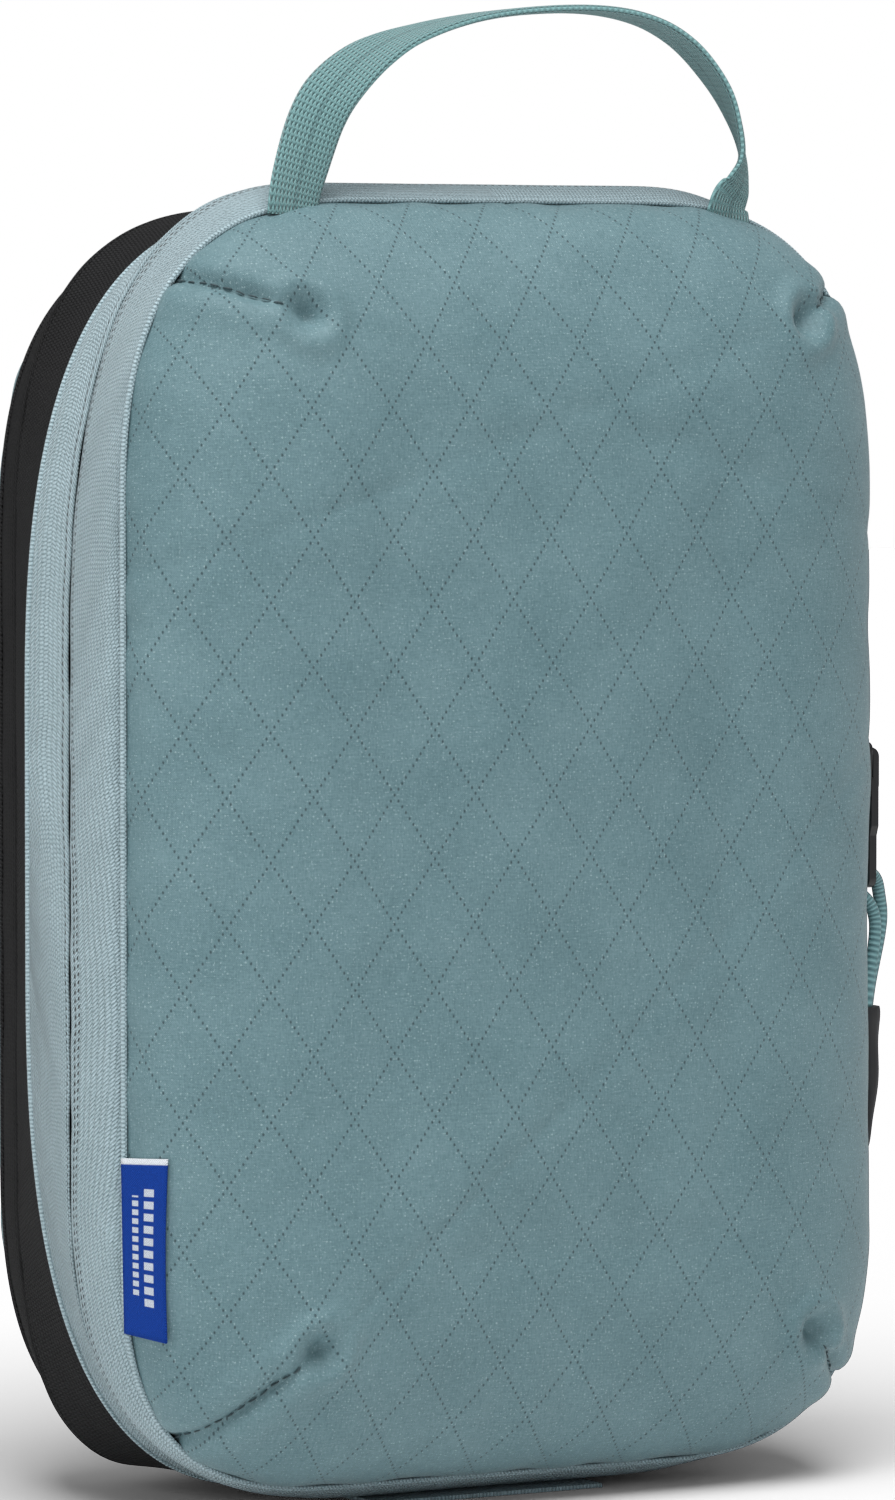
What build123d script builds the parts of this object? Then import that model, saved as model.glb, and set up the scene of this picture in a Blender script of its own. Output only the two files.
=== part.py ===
from build123d import *
import math
import os

os.makedirs("parts", exist_ok=True)

# A small compression packing cube, standing on its base with the zipped front cover towards -Y.
# X runs to the right, Y to the back and Z up. The main zip lies in the plane Y = 0, and the
# underside of the strip that hinges the cover lies in Z = 0. All sizes are in millimetres.

# ---------------------------------------------------------------- overall sizes
BODY_WIDTH = 180.0          # across the main zip
BODY_HEIGHT = 260.0         # along the main zip, base to top
FRONT_TAPE_DEPTH = 12.1     # main zip to front seam
REAR_TAPE_DEPTH = 11.4      # main zip to the seam with the black band
BLACK_FRONT_DEPTH = 23.2    # that seam to the compression zip
BLACK_REAR_DEPTH = 12.4     # compression zip to back seam
FRONT_CROWN = 23.0          # how far the front panel swells
BACK_CROWN = 20.0
CROWN_REACH = 46.0          # how far in from the seam a panel goes on rising

# ---------------------------------------------------------------- soft outline
CORNER_POWER = 2.68         # 2 is an ellipse, more is squarer
CORNER_STEPS = 6
CORNER_MIN = 10.0
SAG_POWER = 4               # how flat the base hangs between its corners

# ---------------------------------------------------------------- fabric, zips and strips
TAPE_WALL = 1.0
PANEL_WALL = 1.2
GUSSET_WALL = 0.8
ZIP_GAP = 1.2               # clear gap between the two halves of a zip
COIL_WIDTH = 2.8
COIL_HEIGHT = 2.0
LAYER_GAP = 0.4             # between a tape and the coil sewn under it
BINDING_WIDTH = 3.9
BINDING_WALL = 1.0
BINDING_GAP = 0.6
GUSSET_FOLD = 17.0          # depth of the folded expansion gusset
GUSSET_ROOT = 7.0           # from the compression zip to where the gusset is sewn on
GUSSET_FOLD_GAP = 1.2
STRIP_WALL = 0.8            # hinge strip under the base
STRIP_HALF_LENGTH = 26.0
STRIP_REAR_WIDTH = 10.0
STRIP_FRONT_WIDTH = 6.8
STRIP_REAR_EDGE = -0.3      # the rear half's front edge, just past the hinge line
STRIP_FRONT_EDGE = -1.2
ZIP_END = 30.0              # half the length of base that the main zip leaves open
STOP_LENGTH = 3.0
STRIP_GAP = 0.1             # strip to tape
LIFT = STRIP_WALL + STRIP_GAP

# ---------------------------------------------------------------- handle and label
WEBBING_WIDTH = 11.0
WEBBING_WALL = 1.6
HANDLE_HEIGHT = 37.8        # top of the arch above its feet
HANDLE_PLANE = -2.2         # the feet stand this far in front of the front seam
HANDLE_GAP = 0.8            # clear height under each foot, where the webbing folds
ANCHOR_DEPTH = 8.0
ANCHOR_DROP = 7.5
LABEL_WIDTH = 10.9
LABEL_HEIGHT = 34.0
LABEL_WALL = 0.6
LABEL_LOW = 37.5
LABEL_STAND_OFF = 0.9

# ---------------------------------------------------------------- sliders and pulls
SLIDER_LENGTH = 12.0
SLIDER_NOSE = 9.0
SLIDER_TAIL = 7.6
SLIDER_INNER_WIDTH = 7.2
SLIDER_WALL = 1.2
SLIDER_ROUND = 0.4
SLIDER_CORNER = 1.6
SLIDER_GAP = 0.5            # plate to tape
POST_WIDTH = 0.5
POST_LENGTH = 5.0
BRIDGE_WIDTH = 2.6
BRIDGE_LENGTH = 10.4
BRIDGE_HEIGHT = 3.5
BRIDGE_WALL = 1.5
BRIDGE_LEAN = 0.9           # each leg leans in by this much
BRIDGE_ROUND = 1.9
BRIDGE_INNER_ROUND = 0.7
PIVOT_BELOW_CENTRE = 2.0
PIVOT_HEIGHT = 1.0
PIVOT_RADIUS = 0.72
TAB_LENGTH = 21.9           # pivot to free end
TAB_WIDTH = 7.0
TAB_END_WIDTH = 5.6
TAB_WALL = 1.6
TAB_SHOULDER = 1.5          # full width goes this far past the eye
TAB_TAPER = 2.0             # height over which the width drops
TAB_ROUND = 1.8
BOSS_WIDTH = 3.4
BOSS_LENGTH = 4.6
BOSS_ROUND = 1.5
BOSS_HEIGHT = 0.5
EYE_WIDTH = 3.4
EYE_REACH = 7.7             # pivot to the far side of the eye, past the whole bridge
HOLE_FROM_PIVOT = 18.9
CORD_DIAMETER = 2.5
HOLE_GAP = 1.1              # the hole is wider than the cord by this much
HOLE_SIZE = CORD_DIAMETER + HOLE_GAP
HOLE_ROUND = 1.2
GRIP_LENGTH = 29.3
MAIN_SLIDER_HEIGHT = 141.0  # above the base of the zip
COMP_SLIDER_HEIGHT = 164.0


class Ring:
    """An outline round the cube, in a plane of constant y."""

    def __init__(self, y, inset, rise, drop, top_corner, bottom_corner, sag):
        self.y = y
        self.half_width = BODY_WIDTH / 2 - inset
        self.bottom = LIFT + rise
        self.top = LIFT + BODY_HEIGHT - drop
        self.top_corner = top_corner
        self.bottom_corner = bottom_corner
        self.sag = sag


FRONT_SEAM_Y = -FRONT_TAPE_DEPTH
MID_SEAM_Y = REAR_TAPE_DEPTH
COMP_ZIP_Y = MID_SEAM_Y + BLACK_FRONT_DEPTH
BACK_SEAM_Y = COMP_ZIP_Y + BLACK_REAR_DEPTH
FRONT_SEAM = Ring(FRONT_SEAM_Y, 5.8, 4.8, 4.1, (53.6, 60.2), (48.5, 46.8), 0.0)
MAIN_ZIP = Ring(0.0, 0.0, 0.0, 0.0, (54.5, 97.9), (70.8, 67.0), 0.0)
MID_SEAM = Ring(MID_SEAM_Y, -2.5, 2.8, 6.2, (58.9, 97.9), (56.5, 105.7), 2.7)
COMP_ZIP = Ring(COMP_ZIP_Y, 6.3, 4.1, 4.8, (50.7, 68.9), (31.7, 65.6), 4.0)
BACK_SEAM = Ring(BACK_SEAM_Y, 10.0, 8.0, 10.0, (52.0, 64.0), (40.0, 60.0), 7.6)
RINGS = [FRONT_SEAM, MAIN_ZIP, MID_SEAM, COMP_ZIP, BACK_SEAM]


def quarter(ring, inset, at_top):
    """A right-hand corner's points as (x, z), from the side to the top or the base."""
    size = ring.top_corner if at_top else ring.bottom_corner
    run = max(size[0] - inset, CORNER_MIN)
    climb = max(size[1] - inset, CORNER_MIN)
    centre_x = ring.half_width - inset - run
    end = ring.top - inset if at_top else ring.bottom + inset
    side = 1 if at_top else -1
    points = []
    for step in range(CORNER_STEPS + 1):
        angle = math.pi / 2 * step / CORNER_STEPS
        x = centre_x + run * math.cos(angle) ** (2 / CORNER_POWER)
        rise = climb * math.sin(angle) ** (2 / CORNER_POWER)
        points.append((x, end - side * (climb - rise)))
    return points


def ring_points(ring, inset):
    """The outline's points as (x, z), once round from the top centre, moved in by inset."""
    high = quarter(ring, inset, True)
    low = quarter(ring, inset, False)
    side = [(high[0][0], high[0][1] + (low[0][1] - high[0][1]) * part) for part in (1 / 3, 2 / 3)]
    base_end, base = low[-1]
    half = list(reversed(high)) + side + low
    for part in (2 / 3, 1 / 3):
        half.append((base_end * part, base - ring.sag * (1 - part**SAG_POWER)))
    left = [(-x, z) for x, z in reversed(half)]
    return [(0.0, ring.top - inset)] + half + [(0.0, base - ring.sag)] + left


def outline(y, inset):
    """A closed wire inset below the cube's skin at depth y."""
    held = min(max(y, RINGS[0].y), RINGS[-1].y)
    before, after = next(pair for pair in zip(RINGS, RINGS[1:]) if held <= pair[1].y)
    part = (held - before.y) / (after.y - before.y)
    pairs = zip(ring_points(before, inset), ring_points(after, inset))
    points = [(a[0] + (b[0] - a[0]) * part, y, a[1] + (b[1] - a[1]) * part) for a, b in pairs]
    return Wire([Edge.make_spline(points, periodic=True)])


def between_rings(y, measure):
    """What measure(ring) comes to at depth y, between the rings before and after it."""
    for before, after in zip(RINGS, RINGS[1:]):
        if before.y <= y <= after.y:
            part = (y - before.y) / (after.y - before.y)
            return measure(before) + (measure(after) - measure(before)) * part
    raise ValueError("depth outside the band")


def half_width_at(y):
    """Half the cube's width at depth y, half-way up its sides."""
    return between_rings(y, lambda ring: ring.half_width)


def straight_top_at(y):
    """Where the straight side ends and the top corner begins at depth y."""
    return between_rings(y, lambda ring: ring.top - ring.top_corner[1])


def lofted(profile):
    """The solid inside a profile of (y, inset) pairs."""
    return Solid.make_loft([outline(y, inset) for y, inset in profile], ruled=True)


def ring_shell(outer, inner):
    """The wall between two profiles that share their first and last y."""
    return lofted(outer).cut(lofted(inner))


def wall_band(breaks, skin, wall):
    """A band of fabric of the given wall, skin below the cube's surface."""
    return ring_shell([(y, skin) for y in breaks], [(y, skin + wall) for y in breaks])


def export(name, *shapes):
    """Writes one node, a single solid or a group of separate ones."""
    solids = [solid for shape in shapes for solid in shape.solids()]
    shape = solids[0] if len(solids) == 1 else Compound(solids)
    export_step(shape, os.path.join("parts", name + ".step"))


def block(low, high):
    """A box between two corners."""
    size = [b - a for a, b in zip(low, high)]
    centre = [(a + b) / 2 for a, b in zip(low, high)]
    return Pos(*centre) * Box(*size)


# ---------------------------------------------------------------- panels
def panel(seam_y, crown, way):
    """A swollen panel whose edge lies in the seam and which rises by crown towards way * Y."""
    outer = []
    inner = []
    for angle in (0.0, 22.5, 45.0, 67.5, 90.0):
        rise = math.sin(math.radians(angle))
        back = math.cos(math.radians(angle))
        outer.append((seam_y + way * crown * rise, CROWN_REACH * (1 - back)))
        inner_y = seam_y + way * (crown - PANEL_WALL) * rise
        inner.append((inner_y, CROWN_REACH - (CROWN_REACH - PANEL_WALL) * back))
    return ring_shell(outer, inner)


# ---------------------------------------------------------------- zips
def coil(zip_y, way):
    """One half of a zip's coil, sewn under its tape."""
    near = zip_y + way * ZIP_GAP / 2
    far = near + way * COIL_WIDTH
    return wall_band([near, far], TAPE_WALL + LAYER_GAP, COIL_HEIGHT)


def open_at_base(solid, half_length):
    """The solid without its stretch along the middle of the base."""
    reach = BODY_WIDTH
    gap = block((-half_length, -reach, -reach), (half_length, reach, BODY_HEIGHT / 2))
    return solid.cut(gap)


def zip_stops(zip_y, way, half_length):
    """Two end stops that close a coil's ends on the base."""
    band = coil(zip_y, way)
    reach = BODY_WIDTH
    keeps = []
    for side in (-1, 1):
        near = side * (half_length - LAYER_GAP)
        far = side * (half_length - STOP_LENGTH)
        keep = block((min(near, far), -reach, -reach), (max(near, far), reach, BODY_HEIGHT / 2))
        keeps.extend(band.intersect(keep).solids())
    return keeps


# ---------------------------------------------------------------- gusset and bindings
def gusset(way):
    """Half of the expansion gusset, folded inwards beside the compression zip."""
    root = COMP_ZIP_Y + way * GUSSET_ROOT
    tip = COMP_ZIP_Y + way * GUSSET_FOLD_GAP / 2
    skin = TAPE_WALL + BINDING_GAP
    fold = skin + GUSSET_FOLD
    outer = [(root, skin), (root - way * GUSSET_WALL, skin), (tip, fold)]
    inner = [(root, skin), (tip + way * GUSSET_WALL, fold), (tip, fold)]
    return ring_shell(outer, inner)


def binding(start, way):
    """A seam binding inside the tapes, from start towards way * Y."""
    return wall_band([start, start + way * BINDING_WIDTH], TAPE_WALL + BINDING_GAP, BINDING_WALL)


# ---------------------------------------------------------------- handle
HANDLE_Y = FRONT_SEAM_Y + HANDLE_PLANE
HANDLE_FOOT_Z = FRONT_SEAM.top - 0.1 + HANDLE_GAP
# Centre line as x, height as a share of the arch,
# and how far the webbing has turned out of the plane of the panel.
HANDLE_ROUTE = [
    (-47.9, 0.0, 0),
    (-46.3, 0.16, 8),
    (-42.8, 0.41, 25),
    (-38.3, 0.58, 42),
    (-30.5, 0.745, 62),
    (-20.5, 0.86, 80),
    (-5.0, 0.955, 90),
    (15.5, 1.0, 90),
    (30.0, 0.96, 90),
    (40.5, 0.835, 88),
    (48.6, 0.62, 82),
    (53.0, 0.40, 68),
    (54.6, 0.225, 55),
    (53.5, 0.085, 35),
    (51.6, 0.0, 19),
]


def handle():
    """An arch of webbing, flat at its feet and turned on its side at the top."""
    route = [Vector(x, HANDLE_Y, HANDLE_FOOT_Z + share * HANDLE_HEIGHT) for x, share, turn in HANDLE_ROUTE]
    sections = []
    for index, (point, (x, share, turn)) in enumerate(zip(route, HANDLE_ROUTE)):
        before = route[max(index - 1, 0)]
        after = route[min(index + 1, len(route) - 1)]
        along = Vector(0, 0, 1) if index == 0 else (after - before).normalized()
        if index == len(route) - 1:
            along = Vector(0, 0, -1)
        outward = Vector(-along.Z, 0, along.X)
        angle = math.radians(turn)
        across = outward * math.cos(angle) + Vector(0, 1, 0) * math.sin(angle)
        thick = along.cross(across)
        corners = []
        for u, v in ((-1, -1), (1, -1), (1, 1), (-1, 1)):
            corners.append(point + across * (u * WEBBING_WIDTH / 2) + thick * (v * WEBBING_WALL / 2))
        sections.append(Wire.make_polygon(corners, close=True))
    return Solid.make_loft(sections, ruled=True)


def handle_anchors():
    """The webbing's two sewn ends, flat under the tape inside the front cover."""
    top = FRONT_SEAM.top - ANCHOR_DROP
    ends = []
    for x in (HANDLE_ROUTE[0][0], HANDLE_ROUTE[-1][0]):
        low = (x - WEBBING_WIDTH / 2, FRONT_SEAM_Y - 2.0, top - WEBBING_WALL)
        high = (x + WEBBING_WIDTH / 2, FRONT_SEAM_Y - 2.0 + ANCHOR_DEPTH, top)
        ends.append(block(low, high))
    return ends


def side_label():
    """A woven tag sewn into the left seam and lying back over the front panel."""
    facet_in = CROWN_REACH * (1 - math.cos(math.pi / 8))
    facet_out = FRONT_CROWN * math.sin(math.pi / 8)
    slope = math.degrees(math.atan2(facet_in, facet_out))
    plate = Pos(0, -LABEL_WIDTH / 2, LABEL_HEIGHT / 2) * Box(LABEL_WALL, LABEL_WIDTH, LABEL_HEIGHT)
    x = -FRONT_SEAM.half_width - LABEL_STAND_OFF
    return Pos(x, FRONT_SEAM_Y, LIFT + LABEL_LOW) * Rot(0, 0, slope) * plate


# ---------------------------------------------------------------- hinge strip
def strip(near, far):
    """Half of the flat strip under the base that hinges the front cover."""
    low = (-STRIP_HALF_LENGTH, min(near, far), 0.0)
    high = (STRIP_HALF_LENGTH, max(near, far), STRIP_WALL)
    return block(low, high)


# ---------------------------------------------------------------- sliders
class Seat:
    """Where a slider sits on the right-hand side: its outer plate's underside, its zip and its height."""

    def __init__(self, zip_y, height, way):
        reach = SLIDER_NOSE / 2
        self.y = zip_y
        straight_top = min(straight_top_at(zip_y - reach), straight_top_at(zip_y + reach))
        self.z = min(LIFT + height, straight_top - SLIDER_LENGTH / 2)
        self.way = way
        self.plate_x = max(half_width_at(zip_y - reach), half_width_at(zip_y + reach)) + SLIDER_GAP
        far = ZIP_GAP / 2 + COIL_WIDTH
        lowest = min(half_width_at(zip_y - far), half_width_at(zip_y + far))
        self.inner_x = lowest - TAPE_WALL - LAYER_GAP - COIL_HEIGHT - BINDING_GAP
        self.top_x = self.plate_x + SLIDER_WALL
        self.pivot_x = self.top_x + PIVOT_HEIGHT
        self.pivot_z = self.z - PIVOT_BELOW_CENTRE


MAIN_SEAT = Seat(0.0, MAIN_SLIDER_HEIGHT, -1)
COMP_SEAT = Seat(COMP_ZIP_Y, COMP_SLIDER_HEIGHT, 1)


def face_on(x, y, z):
    """A plane facing +X at a point, with its own x along Y and its own y along Z."""
    return Plane(origin=(x, y, z), x_dir=(0, 1, 0), z_dir=(1, 0, 0))


def slider_body(seat):
    """Two plates either side of the tapes, joined by the post that parts the coils."""
    half = SLIDER_LENGTH / 2
    corners = [
        (-SLIDER_TAIL / 2, -half),
        (SLIDER_TAIL / 2, -half),
        (SLIDER_NOSE / 2, half),
        (-SLIDER_NOSE / 2, half),
    ]
    shape = Polygon(*corners, align=None)
    shape = fillet(shape.vertices(), SLIDER_CORNER)
    outer = extrude(face_on(seat.plate_x, seat.y, seat.z) * shape, SLIDER_WALL)
    outer = fillet(outer.faces().sort_by(Axis.X)[-1].edges(), SLIDER_ROUND)
    inner_shape = RectangleRounded(SLIDER_INNER_WIDTH, SLIDER_LENGTH, SLIDER_CORNER)
    inner = extrude(face_on(seat.inner_x - SLIDER_WALL, seat.y, seat.z) * inner_shape, SLIDER_WALL)
    length = POST_LENGTH / 2
    low = (seat.inner_x - SLIDER_WALL / 2, seat.y - POST_WIDTH / 2, seat.z - length)
    high = (seat.plate_x + SLIDER_WALL / 2, seat.y + POST_WIDTH / 2, seat.z + length)
    return outer + inner + block(low, high)


def slider_bridge(seat):
    """The arch on the outer plate that carries the pull."""
    half = BRIDGE_LENGTH / 2
    origin = (seat.top_x, seat.y - BRIDGE_WIDTH / 2, seat.z)
    plane = Plane(origin=origin, x_dir=(0, 0, 1), z_dir=(0, 1, 0))
    crest = half - BRIDGE_LEAN
    outer = [(half, 0), (crest, BRIDGE_HEIGHT), (-crest, BRIDGE_HEIGHT), (-half, 0)]
    inner_half = half - BRIDGE_WALL
    inner_height = BRIDGE_HEIGHT - BRIDGE_WALL
    inner = [(inner_half, -1), (inner_half, inner_height), (-inner_half, inner_height), (-inner_half, -1)]
    arch = Polygon(*outer, align=None)
    arch = fillet([v for v in arch.vertices() if v.Y > 1], BRIDGE_ROUND)
    hole = Polygon(*inner, align=None)
    hole = fillet([v for v in hole.vertices() if v.Y > 1], BRIDGE_INNER_ROUND)
    solid = extrude(plane * (arch - hole), BRIDGE_WIDTH)
    outside = [e for e in solid.edges() if e.center().X > seat.top_x + BRIDGE_HEIGHT - 0.3]
    return fillet([e for e in outside if e.length > 1.5 * BRIDGE_WIDTH], SLIDER_ROUND)


# ---------------------------------------------------------------- pulls
def pull_tab(seat):
    """A flat tab with an eye for the bridge at its head and a hole for the cord at its foot."""
    length = TAB_LENGTH
    plane = face_on(seat.pivot_x - TAB_WALL / 2, seat.y, seat.pivot_z)
    shoulder = EYE_REACH + TAB_SHOULDER
    neck = shoulder + TAB_TAPER
    outline_points = [
        (-TAB_WIDTH / 2, 0),
        (-TAB_WIDTH / 2, -shoulder),
        (-TAB_END_WIDTH / 2, -neck),
        (-TAB_END_WIDTH / 2, -length),
        (TAB_END_WIDTH / 2, -length),
        (TAB_END_WIDTH / 2, -neck),
        (TAB_WIDTH / 2, -shoulder),
        (TAB_WIDTH / 2, 0),
    ]
    plate = Polygon(*outline_points, align=None)
    plate = fillet([v for v in plate.vertices() if v.Y < -length + 1], TAB_ROUND)
    eye_low = -EYE_REACH
    eye_high = -PIVOT_RADIUS
    eye = Pos(0, (eye_low + eye_high) / 2) * Rectangle(EYE_WIDTH, eye_high - eye_low)
    hole = Pos(0, -HOLE_FROM_PIVOT) * RectangleRounded(HOLE_SIZE, HOLE_SIZE, HOLE_ROUND)
    head_cut = Rectangle(EYE_WIDTH, 2 * PIVOT_RADIUS)
    tab = extrude(plane * (plate - eye - hole - head_cut), TAB_WALL)
    pin_origin = (seat.pivot_x, seat.y - TAB_WIDTH / 2, seat.pivot_z)
    pin_plane = Plane(origin=pin_origin, x_dir=(1, 0, 0), z_dir=(0, 1, 0))
    pin = extrude(pin_plane * Circle(PIVOT_RADIUS), TAB_WIDTH)
    boss_z = -(EYE_REACH + HOLE_FROM_PIVOT - HOLE_SIZE / 2) / 2
    boss_plane = face_on(seat.pivot_x + TAB_WALL / 2, seat.y, seat.pivot_z)
    boss_shape = Pos(0, boss_z) * RectangleRounded(BOSS_WIDTH, BOSS_LENGTH, BOSS_ROUND)
    boss = extrude(boss_plane * boss_shape, BOSS_HEIGHT)
    return tab + pin + boss


# The cord's route from the grip up through the tab's hole and back,
# as outward, sideways and up from the hole's centre.
CORD_ROUTE = [
    (-1.35, 2.2, -29.4),
    (-1.0, 2.2, -24.6),
    (-0.1, 2.15, -19.4),
    (0.9, 2.05, -14.4),
    (1.4, 1.8, -9.8),
    (0.3, 1.4, -6.2),
    (-1.9, 0.7, -4.1),
    (-2.6, 0.15, -1.9),
    (-1.2, 0.0, 0.05),
    (1.2, 0.0, 0.05),
    (2.8, -0.1, -1.5),
    (3.6, -0.4, -4.6),
    (4.4, -0.6, -8.8),
    (3.7, -0.6, -13.6),
    (2.3, -0.45, -18.8),
    (0.9, -0.2, -24.2),
    (0.1, 0.0, -29.4),
]
GRIP_TOP = -27.4            # the grip's mouth, below the hole's centre
# Sections of the moulded grip: distance below its mouth, outward shift, sideways shift, thickness and width.
GRIP_SECTIONS = [
    (0.0, -0.6, 1.1, 5.2, 6.6),
    (1.6, -0.55, 1.15, 5.3, 6.8),
    (5.0, -0.5, 1.3, 4.7, 6.0),
    (14.0, -0.6, 1.7, 4.2, 5.6),
    (24.0, -1.3, 2.2, 3.2, 5.6),
    (33.0, -2.4, 2.6, 2.0, 5.4),
    (36.0, -2.9, 2.7, 1.4, 4.6),
]


def pull_cord(seat):
    """The cord's tube: straight runs joined by tangent arcs."""
    hole_z = seat.pivot_z - HOLE_FROM_PIVOT
    points = []
    for out, side, up in CORD_ROUTE:
        points.append(Vector(seat.pivot_x + out, seat.y + seat.way * side, hole_z + up))
    radii = []
    for before, corner, after in zip(points, points[1:], points[2:]):
        run_in = corner - before
        run_out = after - corner
        half_turn = math.radians(run_in.get_angle(run_out)) / 2
        radii.append(0.45 * min(run_in.length, run_out.length) / math.tan(half_turn))
    print("cord radii", [round(radius, 2) for radius in radii])
    path = FilletPolyline(*points, radius=radii)
    section = Plane(origin=points[0], z_dir=points[1] - points[0]) * Circle(CORD_DIAMETER / 2)
    tube = sweep(section, path=path)
    print("cord length", round(path.length, 2))
    return tube


def pull_grip(seat, cord):
    """The moulded end of the pull, round at its mouth and thin at its tip."""
    mouth_z = seat.pivot_z - HOLE_FROM_PIVOT + GRIP_TOP
    share = GRIP_LENGTH / GRIP_SECTIONS[-1][0]
    sections = []
    for below, out, side, thickness, width in GRIP_SECTIONS:
        plane = Plane(origin=(seat.pivot_x + out, seat.y + seat.way * side, mouth_z - below * share))
        sections.append((plane * Ellipse(thickness / 2, width / 2)).wire())
    body = Solid.make_loft(sections)
    return body.cut(cord.solid())


# ---------------------------------------------------------------- write every node
def front_cover():
    near = -ZIP_GAP / 2
    export("front_panel", panel(FRONT_SEAM_Y, FRONT_CROWN, -1))
    export("main_zip_tape_front", wall_band([FRONT_SEAM_Y, near], 0.0, TAPE_WALL))
    export("main_zip_coil_front", open_at_base(coil(0.0, -1), ZIP_END))
    export("front_seam_binding", binding(FRONT_SEAM_Y + LAYER_GAP, 1))
    export("hinge_strip_front", strip(STRIP_FRONT_EDGE, STRIP_FRONT_EDGE - STRIP_FRONT_WIDTH))
    export("handle_anchors", *handle_anchors())
    export("side_label", side_label())
    export("handle_webbing", handle())


def middle_band():
    near = ZIP_GAP / 2
    far = COMP_ZIP_Y - ZIP_GAP / 2
    export("main_zip_tape_rear", wall_band([near, MID_SEAM_Y], 0.0, TAPE_WALL))
    export("main_zip_coil_rear", open_at_base(coil(0.0, 1), ZIP_END))
    export("main_zip_stops", *zip_stops(0.0, 1, ZIP_END))
    export("hinge_strip_rear", strip(STRIP_REAR_EDGE, STRIP_REAR_EDGE + STRIP_REAR_WIDTH))
    seam = [MID_SEAM_Y - BINDING_WIDTH / 2, MID_SEAM_Y, MID_SEAM_Y + BINDING_WIDTH / 2]
    export("mid_seam_binding", wall_band(seam, TAPE_WALL + BINDING_GAP, BINDING_WALL))
    export("comp_zip_tape_front", wall_band([MID_SEAM_Y, far], 0.0, TAPE_WALL))
    export("comp_zip_coil_front", open_at_base(coil(COMP_ZIP_Y, -1), ZIP_END))
    export("comp_zip_stops", *zip_stops(COMP_ZIP_Y, -1, ZIP_END))
    export("gusset_front", gusset(-1))


def back_shell():
    near = COMP_ZIP_Y + ZIP_GAP / 2
    export("comp_zip_tape_rear", wall_band([near, BACK_SEAM_Y], 0.0, TAPE_WALL))
    export("comp_zip_coil_rear", open_at_base(coil(COMP_ZIP_Y, 1), ZIP_END))
    export("gusset_rear", gusset(1))
    export("back_seam_binding", binding(BACK_SEAM_Y - LAYER_GAP, -1))
    export("back_panel", panel(BACK_SEAM_Y, BACK_CROWN, 1))


def zip_hardware(prefix, seat):
    export(prefix + "_slider_body", slider_body(seat))
    export(prefix + "_slider_bridge", slider_bridge(seat))
    export(prefix + "_pull_tab", pull_tab(seat))
    cord = pull_cord(seat)
    export(prefix + "_pull_cord", cord)
    export(prefix + "_pull_grip", pull_grip(seat, cord))
    print(prefix, "pull pivot", round(seat.pivot_x, 3), round(seat.y, 3), round(seat.pivot_z, 3))


front_cover()
middle_band()
back_shell()
zip_hardware("main", MAIN_SEAT)
zip_hardware("comp", COMP_SEAT)
print("handle fold axis", round(HANDLE_Y, 3), round(HANDLE_FOOT_Z, 3))
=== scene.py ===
import math

import bmesh
import bpy
import numpy as np
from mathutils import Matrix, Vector, noise


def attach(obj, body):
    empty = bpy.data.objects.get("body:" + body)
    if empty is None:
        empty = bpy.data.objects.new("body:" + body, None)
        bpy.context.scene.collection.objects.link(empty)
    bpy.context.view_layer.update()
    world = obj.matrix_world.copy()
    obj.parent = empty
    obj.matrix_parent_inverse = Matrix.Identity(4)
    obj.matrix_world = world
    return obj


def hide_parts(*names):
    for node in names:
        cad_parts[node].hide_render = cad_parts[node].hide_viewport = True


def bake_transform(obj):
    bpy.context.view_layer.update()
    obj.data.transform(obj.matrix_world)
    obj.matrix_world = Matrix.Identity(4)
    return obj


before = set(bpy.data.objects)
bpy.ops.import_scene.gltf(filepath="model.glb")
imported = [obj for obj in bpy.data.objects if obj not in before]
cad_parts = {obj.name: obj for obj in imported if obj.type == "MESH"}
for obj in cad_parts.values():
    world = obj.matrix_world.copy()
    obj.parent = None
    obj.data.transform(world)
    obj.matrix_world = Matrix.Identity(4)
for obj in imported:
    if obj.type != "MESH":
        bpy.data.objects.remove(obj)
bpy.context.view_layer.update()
MM = 0.001

# ---------------------------------------------------------------- the cube's outline, in millimetres
BODY_WIDTH = 180.0
BODY_HEIGHT = 260.0
LIFT = 0.9
CORNER_POWER = 2.68
FRONT_SEAM_Y = -12.1
MID_SEAM_Y = 11.4
COMP_ZIP_Y = 34.6
BACK_SEAM_Y = 47.0
FRONT_CROWN = 23.0
BACK_CROWN = 20.0
CROWN_REACH = 46.0
DOME = 2.6                  # how far a panel still rises inside its crown's reach
ZIP_EDGE = 0.24             # from a zip's line to the edge of its tape
CLOTH = 0.35                # thickness of the panels' cloth
# y, inset, rise, drop, top corner, bottom corner, sag of the base
RINGS = [
    (FRONT_SEAM_Y, 5.8, 4.8, 4.1, (53.6, 60.2), (48.5, 46.8), 0.0),
    (0.0, 0.0, 0.0, 0.0, (54.5, 97.9), (70.8, 67.0), 0.0),
    (MID_SEAM_Y, -2.5, 2.8, 6.2, (58.9, 97.9), (56.5, 105.7), 2.7),
    (COMP_ZIP_Y, 6.3, 4.1, 4.8, (50.7, 68.9), (31.7, 65.6), 4.0),
    (BACK_SEAM_Y, 10.0, 8.0, 10.0, (52.0, 64.0), (40.0, 60.0), 7.6),
]
END_STEPS = 40              # mesh steps along half the top or the base
CORNER_STEPS = 80
SIDE_STEPS = 80


def evenly(points, steps):
    """Points along a dense line, spaced evenly."""
    reach = np.concatenate([[0], np.cumsum(np.linalg.norm(np.diff(points, axis=0), axis=1))])
    at = np.linspace(0, reach[-1], steps + 1)
    return np.stack([np.interp(at, reach, points[:, axis]) for axis in (0, 1)], axis=1)


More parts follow.
